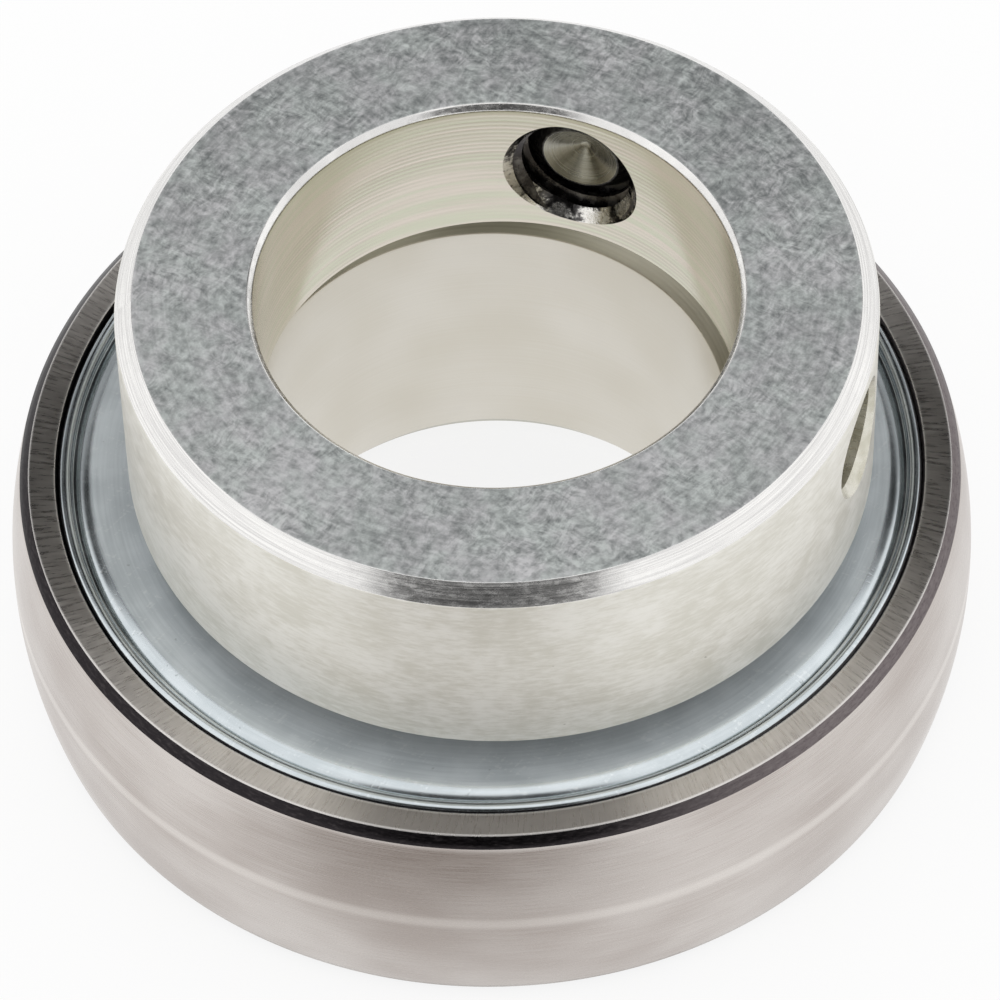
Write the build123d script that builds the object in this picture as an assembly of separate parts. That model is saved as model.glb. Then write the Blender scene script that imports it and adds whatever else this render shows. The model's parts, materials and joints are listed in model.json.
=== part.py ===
from build123d import *
from math import cos, radians, sin, sqrt
import os

# Radial insert ball bearing with an eccentric locking collar and sealed on both sides.
# Millimetres. The origin is the centre of the spherical outside surface, on the axis, in the plane
# of the ball centres. +Z points along the axis to the side that carries the locking collar.

# Rings
bore_diameter = 35.0
inner_wall = 3.624            # steel between the bore and the bottom of the inner ball groove
outer_wall = 3.624            # steel between the bottom of the outer ball groove and the sphere
outer_width = 19.0
inner_width = 25.4
overall_width = 38.9
bore_chamfer_length = 1.5
bore_chamfer_depth = 1.0
inner_edge_chamfer = 0.8
outer_edge_length = 0.72      # axial size of the bevel between the side face and the sphere
outer_edge_depth = 0.74       # radial size of the same bevel

# Balls and ball grooves
ball_diameter = 11.112
ball_count = 9
ball_azimuth = 10.0
race_play = 0.07              # radial gap between a ball and each groove
groove_ratio = 0.52           # groove radius over ball diameter
inner_shoulder_height = 2.326
outer_shoulder_height = 2.176

# Crown cage
pocket_play = 0.2
cage_side_play = 0.35         # gap between the cage's back and the seal beside it
cage_inner_play = 0.6
cage_outer_play = 0.7
claw_thickness = 1.3
claw_reach = 2.6              # how far the claws close over the balls past their centres
cage_back_height = 3.4        # axial height of the closed ring between two pockets

# Three-piece seals
seal_depth = 2.2              # from the side face down to the shoulder that the seal seats on
seat_step = 1.75              # radial height of that shoulder
seat_flare_depth = 0.6
seat_flare_step = 0.31
seal_fit = 0.02
sheet = 0.45                  # thickness of both pressed washers
rubber_sheet = 0.5
rim_inset = 0.05              # rolled rim below the side face
groove_width = 1.0
shield_inset = 0.25           # flat of the outer washer below the side face
shield_bend = 0.3
shield_play = 0.75            # radial gap between the outer washer and the inner ring
backing_play = 2.6            # the same gap at the inner washer, which leaves room for the lip
lip_play = 0.04
lip_root = 2.1
lip_neck = 1.5
lip_crest = 0.75
lip_heel = 0.35
lip_rise = 0.3

# Eccentric nose of the inner ring and the collar's recess around it
nose_wall = 4.5
nose_offset = 0.8
nose_azimuth = 17.2
nose_play = 0.08
nose_chamfer = 0.5
land_past_face = 1.4          # the seal land runs this far past the outer ring's side face
collar_lift_ratio = 0.24      # share of the nose's length left open below the collar
collar_end_gap = 0.1
lock_turn = 77.0              # the collar is turned this far from where both bores line up

# Locking collar
collar_wall = 10.0
collar_top_chamfer = 1.3
collar_bottom_chamfer = 0.3
collar_bore_top_chamfer = 0.45
collar_bore_bottom_chamfer = 0.4
recess_chamfer = 0.4

# Set screw and its hole, then the blind hole for a hook spanner or drift
screw_azimuth = -6.6          # with both bores in line
thread_diameter = 10.0
thread_pitch = 1.5            # one turn of the screw moves it this far
screw_length = 8.0
screw_play = 0.05
screw_setback = 1.73          # point of the screw behind the wall of the collar's bore
point_radius = 3.0
point_rim = 0.15
cup_angle = 120.0
socket_flats = 5.0
socket_depth = 4.0
screw_back_chamfer = 0.6
hole_mouth_step = 0.7         # the hole widens by this much to a round mouth in the bore
hole_outer_countersink = 0.7
spanner_spacing = 89.5        # angle from the screw to the spanner hole
spanner_diameter = 8.0
spanner_depth = 5.5
spanner_countersink = 0.75
drill_angle = 118.0

# Sizes that follow from the ones above
bore_r = bore_diameter / 2
ball_r = ball_diameter / 2
groove_r = groove_ratio * ball_diameter
inner_race_r = bore_r + inner_wall
pitch_r = inner_race_r + race_play + ball_r
outer_race_r = pitch_r + ball_r + race_play
sphere_r = outer_race_r + outer_wall
inner_land_r = inner_race_r + inner_shoulder_height
outer_land_r = outer_race_r - outer_shoulder_height

face_z = outer_width / 2
ring_top = inner_width - face_z
collar_top = overall_width - face_z
bevel_z = face_z - outer_edge_length
bevel_r = sqrt(sphere_r**2 - bevel_z**2)
face_r = bevel_r - outer_edge_depth

seat_z = face_z - seal_depth
seat_r = outer_land_r + seat_step
seal_r = seat_r - seal_fit
backing_top = seat_z + sheet
rubber_top = backing_top + rubber_sheet

land_top = face_z + land_past_face
collar_bottom = land_top + collar_lift_ratio * (ring_top - land_top)
web_bottom = ring_top + collar_end_gap
nose_r = bore_r + nose_wall
recess_r = nose_r + nose_play
collar_r = bore_r + collar_wall
nose_axis = (nose_offset * cos(radians(nose_azimuth)), nose_offset * sin(radians(nose_azimuth)))

thread_r = thread_diameter / 2 - 3 * sqrt(3) / 16 * thread_pitch  # a plain cylinder at the pitch line
screw_z = (web_bottom + collar_top) / 2
screw_start = bore_r + screw_setback
spanner_azimuth = screw_azimuth - spanner_spacing


def turned(outline, arcs=()):
    """Revolve a closed section of (radius, height) points; arcs give start, middle and end points."""
    with BuildPart() as piece:
        with BuildSketch(Plane.XZ):
            with BuildLine():
                for run in outline:
                    Polyline(*run)
                for arc in arcs:
                    ThreePointArc(*arc)
            make_face()
        revolve(axis=Axis.Z)
    return piece.part


def tube(inner, outer, low, high):
    """Plain ring between two radii and two heights."""
    return turned([[(inner, low), (outer, low), (outer, high), (inner, high), (inner, low)]])


def groove_half_width(land_r, race_r, side):
    """Half the width of a ball groove where it meets its land."""
    centre_r = race_r + side * groove_r
    return sqrt(groove_r**2 - (centre_r - land_r)**2)


def radial_plane(azimuth, distance):
    """Plane at the set screw's height that faces outwards at an azimuth."""
    a = radians(azimuth)
    return Plane(
        origin=(distance * cos(a), distance * sin(a), screw_z),
        x_dir=(-sin(a), cos(a), 0),
        z_dir=(cos(a), sin(a), 0),
    )


def locked(piece):
    """Turn a piece of the collar about the nose, from where both bores line up."""
    x, y = nose_axis
    return Pos(x, y) * Rot(0, 0, lock_turn) * Pos(-x, -y) * piece


def outer_ring():
    """Ring with a spherical outside, a ball groove and a stepped seat for each seal."""
    g = groove_half_width(outer_land_r, outer_race_r, -1)
    flare_z = face_z - seat_flare_depth
    flare_r = seat_r + seat_flare_step
    half = [
        (outer_land_r, g),
        (outer_land_r, seat_z),
        (seat_r, seat_z),
        (seat_r, flare_z),
        (flare_r, face_z),
        (face_r, face_z),
        (bevel_r, bevel_z),
    ]
    other = [(r, -z) for r, z in half]
    groove = [(outer_land_r, g), (outer_race_r, 0), (outer_land_r, -g)]
    sphere = [(bevel_r, bevel_z), (sphere_r, 0), (bevel_r, -bevel_z)]
    return turned([half, other], [groove, sphere])


def inner_ring():
    """Ring with a ball groove, two seal lands and an eccentric nose on its long side."""
    g = groove_half_width(inner_land_r, inner_race_r, 1)
    body = [
        (inner_land_r, g),
        (inner_land_r, land_top),
        (0, land_top),
        (0, -face_z),
        (inner_land_r - inner_edge_chamfer, -face_z),
        (inner_land_r, inner_edge_chamfer - face_z),
        (inner_land_r, -g),
    ]
    groove = [(inner_land_r, g), (inner_race_r, 0), (inner_land_r, -g)]
    nose = turned([[
        (0, land_top),
        (nose_r, land_top),
        (nose_r, ring_top - nose_chamfer),
        (nose_r - nose_chamfer, ring_top),
        (0, ring_top),
        (0, land_top),
    ]])
    mouth_r = bore_r + bore_chamfer_depth
    bore = turned([[
        (0, -face_z),
        (mouth_r, -face_z),
        (bore_r, bore_chamfer_length - face_z),
        (bore_r, ring_top - bore_chamfer_length),
        (mouth_r, ring_top),
        (0, ring_top),
        (0, -face_z),
    ]])
    return turned([body], [groove]) + Pos(*nose_axis) * nose - bore


def ball(number):
    """One ball, numbered anticlockwise from the first."""
    a = radians(ball_azimuth + 360 * number / ball_count)
    return Pos(pitch_r * cos(a), pitch_r * sin(a)) * Sphere(ball_r)


def ball_cage():
    """One-piece crown cage: a closed back and claws that snap round each ball."""
    inner = inner_land_r + cage_inner_play
    outer = outer_land_r - cage_outer_play
    back = cage_side_play - seat_z
    pocket_r = ball_r + pocket_play
    ring = tube(inner, outer, back, back + cage_back_height)
    crown = tube(inner, outer, back, claw_reach)
    turns = [Rot(0, 0, ball_azimuth + 360 * n / ball_count) for n in range(ball_count)]
    lobe = Pos(pitch_r) * Rot(0, 90, 0) * Cylinder(pocket_r + claw_thickness, outer - inner + ball_r)
    claws = [crown & (turn * lobe) for turn in turns]
    pockets = [turn * Pos(pitch_r) * Sphere(pocket_r) for turn in turns]
    return ring + claws - pockets


def backing_washer():
    """Inner washer of a seal, flat against the shoulder in the outer ring."""
    return tube(inner_land_r + backing_play, seal_r, seat_z, backing_top)


def seal_lip():
    """Rubber disc held between the two washers, with a lip that runs on the inner ring."""
    held_r = seal_r - sheet - seal_fit
    return turned([[
        (held_r, backing_top),
        (inner_land_r + lip_root, backing_top),
        (inner_land_r + lip_neck, backing_top - lip_heel),
        (inner_land_r + lip_play, (backing_top + rubber_top) / 2),
        (inner_land_r + lip_crest, rubber_top + lip_rise),
        (inner_land_r + lip_neck, rubber_top + lip_rise),
        (inner_land_r + lip_root, rubber_top),
        (held_r, rubber_top),
        (held_r, backing_top),
    ]])


def shield():
    """Outer washer of a seal: flat, then a pressed groove, then a rim folded tight on itself."""
    rim_r = seal_r - 2 * sheet
    groove_in = rim_r - groove_width
    flat_top = face_z - shield_inset
    rim_top = face_z - rim_inset
    floor_top = rubber_top + sheet
    fold_r = sheet
    return turned(
        [
            [
                (rim_r, rim_top - fold_r),
                (rim_r, floor_top),
                (groove_in, floor_top),
                (groove_in, flat_top - shield_bend),
            ],
            [
                (groove_in - shield_bend, flat_top),
                (inner_land_r + shield_play, flat_top),
                (inner_land_r + shield_play, flat_top - sheet),
                (groove_in - sheet, flat_top - sheet),
                (groove_in - sheet, rubber_top),
                (seal_r - sheet, rubber_top),
                (seal_r - sheet, backing_top),
                (seal_r, backing_top),
                (seal_r, rim_top - fold_r),
            ],
        ],
        [
            [(seal_r, rim_top - fold_r), (seal_r - fold_r, rim_top), (rim_r, rim_top - fold_r)],
            [
                (groove_in, flat_top - shield_bend),
                (
                    groove_in - shield_bend * (1 - cos(radians(45))),
                    flat_top - shield_bend * (1 - sin(radians(45))),
                ),
                (groove_in - shield_bend, flat_top),
            ],
        ],
    )


def round_hole(azimuth, start, end, radius):
    """Cylinder along a radius of the collar, from one distance off its axis to another."""
    length = end - start
    return radial_plane(azimuth, start) * Pos(0, 0, length / 2) * Cylinder(radius, length)


def countersink(azimuth, wall_r, hole_r, size):
    """Cone that opens a radial hole by its size at an outer wall, and on past the curved wall."""
    past = wall_r - sqrt(wall_r**2 - (hole_r + size) ** 2)
    reach = size + past
    middle = radial_plane(azimuth, wall_r - size + reach / 2)
    return middle * Cone(hole_r, hole_r + reach, reach)


def bore_mouth(azimuth, hole_r, step):
    """Mouth of a radial hole in the bore: equally wide all round, with a cone behind it."""
    cone = radial_plane(azimuth, bore_r + step / 2) * Cone(hole_r + step, hole_r, step)
    return [cone, round_hole(azimuth, bore_r / 2, bore_r, hole_r + step)]


def locking_collar():
    """Collar with a plain bore, an eccentric recess over the nose and two radial holes."""
    body = turned([[
        (bore_r + collar_bore_bottom_chamfer, collar_bottom),
        (collar_r - collar_bottom_chamfer, collar_bottom),
        (collar_r, collar_bottom + collar_bottom_chamfer),
        (collar_r, collar_top - collar_top_chamfer),
        (collar_r - collar_top_chamfer, collar_top),
        (bore_r + collar_bore_top_chamfer, collar_top),
        (bore_r, collar_top - collar_bore_top_chamfer),
        (bore_r, web_bottom + collar_bore_bottom_chamfer),
        (bore_r + collar_bore_bottom_chamfer, web_bottom),
        (bore_r + collar_bore_bottom_chamfer, collar_bottom),
    ]])
    mouth_r = recess_r + recess_chamfer
    recess = Pos(*nose_axis) * turned([[
        (0, collar_bottom),
        (mouth_r, collar_bottom),
        (recess_r, collar_bottom + recess_chamfer),
        (recess_r, web_bottom),
        (0, web_bottom),
        (0, collar_bottom),
    ]])
    screw_hole = [
        round_hole(screw_azimuth, bore_r / 2, collar_r + collar_wall, thread_r),
        *bore_mouth(screw_azimuth, thread_r, hole_mouth_step),
        countersink(screw_azimuth, collar_r, thread_r, hole_outer_countersink),
    ]
    spanner_r = spanner_diameter / 2
    floor = collar_r - spanner_depth
    tip = spanner_r / sin(radians(drill_angle / 2)) * cos(radians(drill_angle / 2))
    drill_point = radial_plane(spanner_azimuth, floor - tip / 2) * Cone(0, spanner_r, tip)
    spanner_hole = [
        round_hole(spanner_azimuth, floor, collar_r + collar_wall, spanner_r),
        drill_point,
        countersink(spanner_azimuth, collar_r, spanner_r, spanner_countersink),
    ]
    return locked(body - recess - screw_hole - spanner_hole)


def set_screw():
    """Grub screw with a cup point towards the bore and a hexagon socket outside."""
    r = thread_r - screw_play
    cup_r = point_radius - point_rim
    cup_depth = cup_r / sin(radians(cup_angle / 2)) * cos(radians(cup_angle / 2))
    body = turned([[
        (0, cup_depth),
        (cup_r, 0),
        (point_radius, 0),
        (r, r - point_radius),
        (r, screw_length - screw_back_chamfer),
        (r - screw_back_chamfer, screw_length),
        (0, screw_length),
        (0, cup_depth),
    ]])
    hexagon = RegularPolygon(socket_flats / 2, 6, major_radius=False)
    socket = extrude(Pos(0, 0, screw_length - socket_depth) * hexagon, socket_depth)
    return locked(radial_plane(screw_azimuth, screw_start) * (body - socket))


def pieces():
    """Every piece of the bearing by its name."""
    made = {
        "outer_ring": outer_ring(),
        "inner_ring": inner_ring(),
        "locking_collar": locking_collar(),
        "set_screw": set_screw(),
        "ball_cage": ball_cage(),
    }
    for number in range(ball_count):
        made[f"ball_{number + 1}"] = ball(number)
    seal = {"seal_shield": shield(), "seal_lip": seal_lip(), "seal_backing": backing_washer()}
    for name, piece in seal.items():
        made[f"upper_{name}"] = piece
        made[f"lower_{name}"] = mirror(piece, about=Plane.XY)
    return made


os.makedirs("parts", exist_ok=True)
for name, piece in pieces().items():
    export_step(piece, f"parts/{name}.step")

turned_collar = locked(Pos(0, 0, screw_z))
print("sphere radius", round(sphere_r, 3), "pitch radius", round(pitch_r, 3))
print("nose axis", [round(v, 4) for v in nose_axis])
print("collar bore axis", [round(v, 4) for v in turned_collar.position])
print("screw direction", screw_azimuth + lock_turn, "spanner hole direction", spanner_azimuth + lock_turn)
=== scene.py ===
# %% [markdown]
# An insert bearing, dressed round its solids.
#
# The frame holds every piece as a plain solid at its real size. This lesson gives each visible piece
# its true edges and its finish: ground steel, pale zinc, pressed sheet, black oxide. Nothing is moved,
# so each new piece is built in the same place as the solid that it stands for.

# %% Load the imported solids
import json
from math import asin, cos, degrees, radians, sin, sqrt, tan, tau

import bmesh
import bpy
from mathutils import Matrix, Vector


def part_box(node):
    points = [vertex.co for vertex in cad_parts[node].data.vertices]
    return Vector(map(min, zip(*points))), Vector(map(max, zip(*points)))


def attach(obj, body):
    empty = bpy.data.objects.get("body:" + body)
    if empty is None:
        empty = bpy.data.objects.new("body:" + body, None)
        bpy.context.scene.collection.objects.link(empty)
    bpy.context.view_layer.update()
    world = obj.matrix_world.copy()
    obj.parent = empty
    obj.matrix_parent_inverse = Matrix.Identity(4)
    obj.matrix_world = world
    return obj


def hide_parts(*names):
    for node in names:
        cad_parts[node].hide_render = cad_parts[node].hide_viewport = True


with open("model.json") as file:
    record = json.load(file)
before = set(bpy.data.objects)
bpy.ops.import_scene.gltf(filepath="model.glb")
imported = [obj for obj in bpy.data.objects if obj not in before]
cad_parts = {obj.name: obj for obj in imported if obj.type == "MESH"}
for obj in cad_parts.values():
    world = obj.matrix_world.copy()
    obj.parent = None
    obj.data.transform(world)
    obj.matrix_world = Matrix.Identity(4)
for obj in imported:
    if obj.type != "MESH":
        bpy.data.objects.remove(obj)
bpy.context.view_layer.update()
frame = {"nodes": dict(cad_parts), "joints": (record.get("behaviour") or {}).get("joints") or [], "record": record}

# %% [markdown]
# Sizes come first. The mounts and joints in the record are exact, so the radii, the axis of the
# eccentric nose and the direction of the set screw are read from them. Heights come from the boxes of
# the solids. All modelling below is in millimetres, because Blender's bevel and cut tools lose fine
# edges at a thousandth of that size, and each finished mesh is scaled to metres at the end.

# %% Main sizes in millimetres
MM = 0.001
ORIGIN, UPRIGHT = Vector((0, 0, 0)), Vector((0, 0, 1))
mounts = {mount["name"]: mount for mount in frame["record"]["mounts"]}
joints = {joint["name"]: joint for joint in frame["joints"]}


def height(node, end):
    """Lowest (0) or highest (1) level of a solid."""
    return round(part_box(node)[end].z / MM, 3)


def place(point):
    """A point of the record as a vector in millimetres."""
    return Vector(point) / MM


sphere_r = round(place(mounts["housing_seat"]["pos_m"]).x, 3)
bore_r = mounts["shaft_bore"]["dims"]["r_mm"]
face_z = height("outer_ring", 1)
ring_top = height("inner_ring", 1)
collar_bottom = height("locking_collar", 0)
collar_top = height("locking_collar", 1)
nose_axis = place(joints["collar_turn"]["pos_m"])
collar_axis = place(mounts["collar_bore"]["pos_m"])
screw_way = Vector(joints["screw_travel"]["axis"])
hole_z = nose_axis.z
bevel_height, bevel_depth = 0.72, 0.74  # the dark bevel beside each side face of the outer ring
bevel_z = face_z - bevel_height
bevel_r = sqrt(sphere_r ** 2 - bevel_z ** 2)
face_r = bevel_r - bevel_depth
outer_wall = 3.624  # steel between the sphere and the bottom of the ball groove
outer_race_r = sphere_r - outer_wall
land_r = outer_race_r - 2.176
seat_r = land_r + 1.75
flare_depth = 0.9  # the seal's seat widens over this height, up to the side face
flare_r = seat_r + 0.31
collar_wall = 10.0
collar_r = bore_r + collar_wall
top_chamfer, bottom_chamfer = 1.3, 0.3
print("sphere", sphere_r, "bore", bore_r, "levels", face_z, ring_top, collar_bottom, collar_top)

# %% [markdown]
# A bearing is lathe work, so nearly every piece starts as a section that is turned about an axis. The
# section could be swept by a modifier, but a bmesh spin gives a closed mesh at once. Corners of real
# parts are never sharp: each corner in an outline carries its own rounding, made by a bevel of that
# corner while the section is still flat. Long edges are divided, so that light runs evenly over them.
# A spin slows down as its mesh grows, so only a narrow wedge is spun. Copies of the wedge then fill
# the turn, and merging what they share closes the ring.

# %% Turn a section into a piece
TURN_STEPS = 360
WEDGES = 24
ROUND_STEPS = 4
MERGE = 0.0005


def section(outline, longest):
    """Flat closed face from (radius, height, rounding) corners, its corners rounded, its edges divided."""
    bm = bmesh.new()
    corners = [bm.verts.new((r, 0, z)) for r, z, _ in outline]
    bm.faces.new(corners)
    for corner, (_, _, rounding) in zip(corners, outline):
        if rounding:
            bmesh.ops.bevel(
                bm, geom=[corner], offset=rounding, offset_type="OFFSET", segments=ROUND_STEPS,
                profile=0.5, affect="VERTICES", clamp_overlap=True, material=-1,
            )
    for edge in bm.edges[:]:
        cuts = int(edge.calc_length() / longest)
        if cuts:
            bmesh.ops.subdivide_edges(bm, edges=[edge], cuts=cuts)
    return bm


def turned(outline, longest=0.6, steps=TURN_STEPS):
    """Turn a section once round the Z axis into a closed mesh."""
    bm = section(outline, longest)
    bmesh.ops.delete(bm, geom=bm.faces[:], context="FACES_ONLY")
    on_axis = [e for e in bm.edges if all(v.co.x < MERGE for v in e.verts)]
    bmesh.ops.delete(bm, geom=on_axis, context="EDGES")
    bmesh.ops.spin(
        bm, geom=bm.verts[:] + bm.edges[:], cent=(0, 0, 0), axis=(0, 0, 1), dvec=(0, 0, 0),
        angle=tau / WEDGES, steps=steps // WEDGES,
    )
    bmesh.ops.spin(
        bm, geom=bm.verts[:] + bm.edges[:] + bm.faces[:], cent=(0, 0, 0), axis=(0, 0, 1),
        dvec=(0, 0, 0), angle=tau - tau / WEDGES, steps=WEDGES - 1, use_duplicate=True,
    )
    bmesh.ops.remove_doubles(bm, verts=bm.verts, dist=MERGE)
    bmesh.ops.recalc_face_normals(bm, faces=bm.faces)
    return bm


def arc(centre, radius, start, end, steps=12):
    """Points on an arc in a section, from one angle to another in degrees, as unrounded corners."""
    turns = [radians(start + (end - start) * n / steps) for n in range(steps + 1)]
    return [(centre[0] + radius * cos(a), centre[1] + radius * sin(a), 0) for a in turns]


def ring_radius(face, axis=ORIGIN):
    """Distance of a face's middle from an upright axis."""
    middle = face.calc_center_median()
    return sqrt((middle.x - axis.x) ** 2 + (middle.y - axis.y) ** 2)


print("a facet lies inside the true sphere by", round(sphere_r * (1 - cos(tau / TURN_STEPS / 2)), 4), "mm")

# %% [markdown]
# Each finish is a small tree of nodes, and so is the light of the room. The helper below keeps such
# trees short to write: it adds a node, sets its values and links whatever is given as a socket.

# %% A helper for node trees
class Nodes:
    """A node tree being built, with short names for the nodes that are used most."""

    def __init__(self, tree):
        self.tree = tree

    def set(self, node, values):
        for name, value in values.items():
            socket = node.inputs[name]
            if isinstance(value, bpy.types.NodeSocket):
                self.tree.links.new(value, socket)
            else:
                socket.default_value = value

    def add(self, kind, values, **settings):
        node = self.tree.nodes.new("ShaderNode" + kind)
        for name, value in settings.items():
            setattr(node, name, value)
        self.set(node, values)
        return node

    def math(self, operation, a, b=0.0):
        return self.add("Math", {0: a, 1: b}, operation=operation).outputs[0]

    def vector(self, operation, a, b):
        return self.add("VectorMath", {0: a, 1: b}, operation=operation).outputs[0]

    def measure(self, operation, a, b=ORIGIN):
        """A number got from vectors, such as a length or a dot product."""
        return self.add("VectorMath", {0: a, 1: b}, operation=operation).outputs["Value"]

    def step(self, value, low, high, out_low=0.0, out_high=1.0):
        """Smooth step of a value between two levels."""
        return self.add("MapRange", {
            "Value": value, "From Min": low, "From Max": high, "To Min": out_low, "To Max": out_high,
        }, interpolation_type="SMOOTHSTEP").outputs["Result"]

    def most(self, *masks):
        """The greatest of several masks."""
        top = masks[0]
        for mask in masks[1:]:
            top = self.math("MAXIMUM", top, mask)
        return top

    def total(self, first, *others):
        """Sum of patterns, each times its share."""
        whole = self.math("MULTIPLY", *first)
        for pattern, share in others:
            whole = self.math("ADD", whole, self.math("MULTIPLY", pattern, share))
        return whole


# %% [markdown]
# The patterns of a finish read Object coordinates through one Mapping node, which measures in
# millimetres from the axis of the piece that was turned, so lathe lines close on themselves. The
# helper for finishes adds such places, the noise and strokes of worked metal, its relief and its grain.

# %% A helper for finishes
class Finish(Nodes):
    """A material being built, with the patterns and the shading that finishes need."""

    def __init__(self, name, colour, roughness, metallic=1.0):
        self.material = bpy.data.materials.new(name)
        self.material.use_nodes = True
        super().__init__(self.material.node_tree)
        self.shader = self.tree.nodes["Principled BSDF"]
        self.set(self.shader, {
            "Base Color": (*colour, 1), "Roughness": roughness, "Metallic": metallic,
        })

    def spot(self, axis=ORIGIN, turn=(0, 0, 0)):
        """Place on the piece in millimetres, measured from an axis and turned with it."""
        mapping = self.add("Mapping", {
            "Vector": self.add("TexCoord", {}).outputs["Object"],
            "Location": axis * MM, "Rotation": turn, "Scale": (MM, MM, MM),
        }, vector_type="TEXTURE")
        return mapping.outputs["Vector"]

    def axes(self, where):
        """X, Y and Z of a place as sockets."""
        return self.add("SeparateXYZ", {0: where}).outputs

    def polar(self, where, across):
        """(length round the axis, distance along it, distance from it) as sockets."""
        x, y, z = self.axes(where)
        angle = self.math("ARCTAN2", y, x)
        away = self.math("SQRT", self.math("ADD", self.math("MULTIPLY", x, x), self.math("MULTIPLY", y, y)))
        return self.math("MULTIPLY", angle, across), z, away

    def flat(self, u, v):
        return self.add("CombineXYZ", {0: u, 1: v}).outputs[0]

    def noise(self, where, stretch=(1, 1, 1), detail=2.0, rough=0.55):
        """Noise whose grains per millimetre differ along X, Y and Z."""
        stretched = self.vector("MULTIPLY", where, stretch)
        return self.add("TexNoise", {
            "Vector": stretched, "Scale": 1.0, "Detail": detail, "Roughness": rough,
        }).outputs["Fac"]

    def strokes(self, where, along, across, turns=(12, 57, 101, 148)):
        """Mat of short soft strokes that lie every way on a flat, light ones above 0 and dark below.

        Each layer is noise drawn out one way, with its grains per millimetre along and across.
        """
        layers = []
        for turn in turns:
            turned_spot = self.add("VectorRotate", {"Vector": where, "Angle": radians(turn)},
                                   rotation_type="Z_AXIS").outputs[0]
            layers.append(self.noise(turned_spot, (along, across, 1.0), 2.0, 0.6))
        lowest = layers[0]
        for layer in layers[1:]:
            lowest = self.math("MINIMUM", lowest, layer)
        return self.math("SUBTRACT", self.math("ADD", self.most(*layers), lowest), 1.0)

    def mix(self, factor, a, b):
        """Blend of two colours."""
        colours = [(*c, 1) if isinstance(c, tuple) else c for c in (a, b)]
        node = self.add("Mix", {0: factor, 6: colours[0], 7: colours[1]}, data_type="RGBA")
        return node.outputs[2]

    def relief(self, heights, depth):
        """Bump from a height pattern, with its real depth in millimetres."""
        bump = self.add("Bump", {"Height": heights, "Distance": depth * MM, "Strength": 1.0})
        self.set(self.shader, {"Normal": bump.outputs[0]})

    def grain(self, amount, foot=ORIGIN, way=UPRIGHT):
        """Stretch reflections across the lathe lines round an axis, as fine grooves do.

        The shader stretches along its tangent, so the tangent is turned a quarter from the lines.
        """
        around = self.vector("CROSS_PRODUCT", way, self.spot(foot))
        tangent = self.add("VectorTransform", {0: around}, vector_type="VECTOR",
                           convert_from="OBJECT", convert_to="WORLD").outputs[0]
        self.set(self.shader, {"Anisotropic": amount, "Anisotropic Rotation": 0.25, "Tangent": tangent})


# %% [markdown]
# The outside of the outer ring is ground: very fine lines run round it, and the wheel leaves faint
# light and dark patches. A paler band near its middle is a painted highlight. Its side faces are ground
# flat by a cup wheel, which leaves soft strokes that run nearly outwards; their colour carries a painted
# dark reflection at the front and a painted highlight along their rims. The bevels between them are not
# ground at all, so they keep the scale of the hardening furnace, black and turning brown to one side.

# %% Finishes of the outer ring
painted_band_z = 0.9  # level of the painted highlight band round the sphere


def ground_sphere():
    f = Finish("ground_sphere", (0.6, 0.56, 0.53), 0.3)
    spot = f.spot()
    lines = f.noise(spot, (0.2, 0.2, 14.0), 3.0, 0.6)
    patches = f.noise(spot, (0.07, 0.07, 0.12), 2.0)
    flecks = f.noise(spot, (1.2, 1.2, 9.0), 2.0, 0.6)
    _, z, _ = f.polar(spot, sphere_r)
    # Painted highlight: a paler band round the sphere near its middle, painted into the colour.
    painted_highlight_band = f.step(f.math("ABSOLUTE", f.math("SUBTRACT", z, painted_band_z)), 0.15, 0.85, 1.0, 0.0)
    tone = f.total((lines, 0.4), (patches, 0.6))
    steel = f.mix(f.step(tone, 0.34, 0.66), (0.49, 0.44, 0.41), (0.66, 0.62, 0.59))
    pale = f.most(f.math("MULTIPLY", painted_highlight_band, 0.45), f.step(flecks, 0.7, 0.78, 0.0, 0.5))
    f.set(f.shader, {
        "Base Color": f.mix(pale, steel, (0.86, 0.82, 0.78)),
        "Roughness": f.step(lines, 0.3, 0.7, 0.24, 0.34),
    })
    f.relief(lines, 0.001)
    f.grain(0.6)
    return f.material


def ground_face():
    f = Finish("ground_face", (0.5, 0.47, 0.45), 0.3)
    spot = f.spot()
    u, _, away = f.polar(spot, sphere_r)
    slanted = f.math("ADD", u, f.math("MULTIPLY", away, 0.15))
    hatch = f.noise(f.flat(slanted, away), (3.4, 0.3, 1.0), 3.0, 0.65)
    clouds = f.noise(spot, (0.18, 0.18, 0.18), 2.0)
    steel = f.mix(f.step(f.total((hatch, 0.6), (clouds, 0.4)), 0.3, 0.7),
                  (0.47, 0.44, 0.415), (0.67, 0.635, 0.6))
    # Painted dark reflection: the front middle of the side face is darkened in its colour.
    x, y, _ = f.axes(spot)
    middle = f.step(f.math("ABSOLUTE", x), 7, 15, 1.0, 0.0)
    painted_dark_reflection = f.math("MULTIPLY", middle, f.step(y, -31, -28, 1.0, 0.0))
    steel = f.mix(f.math("MULTIPLY", painted_dark_reflection, 0.8), steel, (0.24, 0.225, 0.215))
    # Painted highlight: the outer and inner rims of the side face are paler in their colour.
    outer_rim_highlight = f.step(away, face_r - 0.14, face_r - 0.02)
    inner_rim_highlight = f.step(away, flare_r + 0.1, flare_r + 0.25, 1.0, 0.0)
    edges = f.math("MULTIPLY", f.most(outer_rim_highlight, inner_rim_highlight), 0.6)
    f.set(f.shader, {
        "Base Color": f.mix(edges, steel, (0.75, 0.73, 0.71)),
        "Roughness": f.step(hatch, 0.35, 0.65, 0.26, 0.34),
    })
    f.relief(hatch, 0.0004)
    f.grain(0.9)
    return f.material


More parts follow.
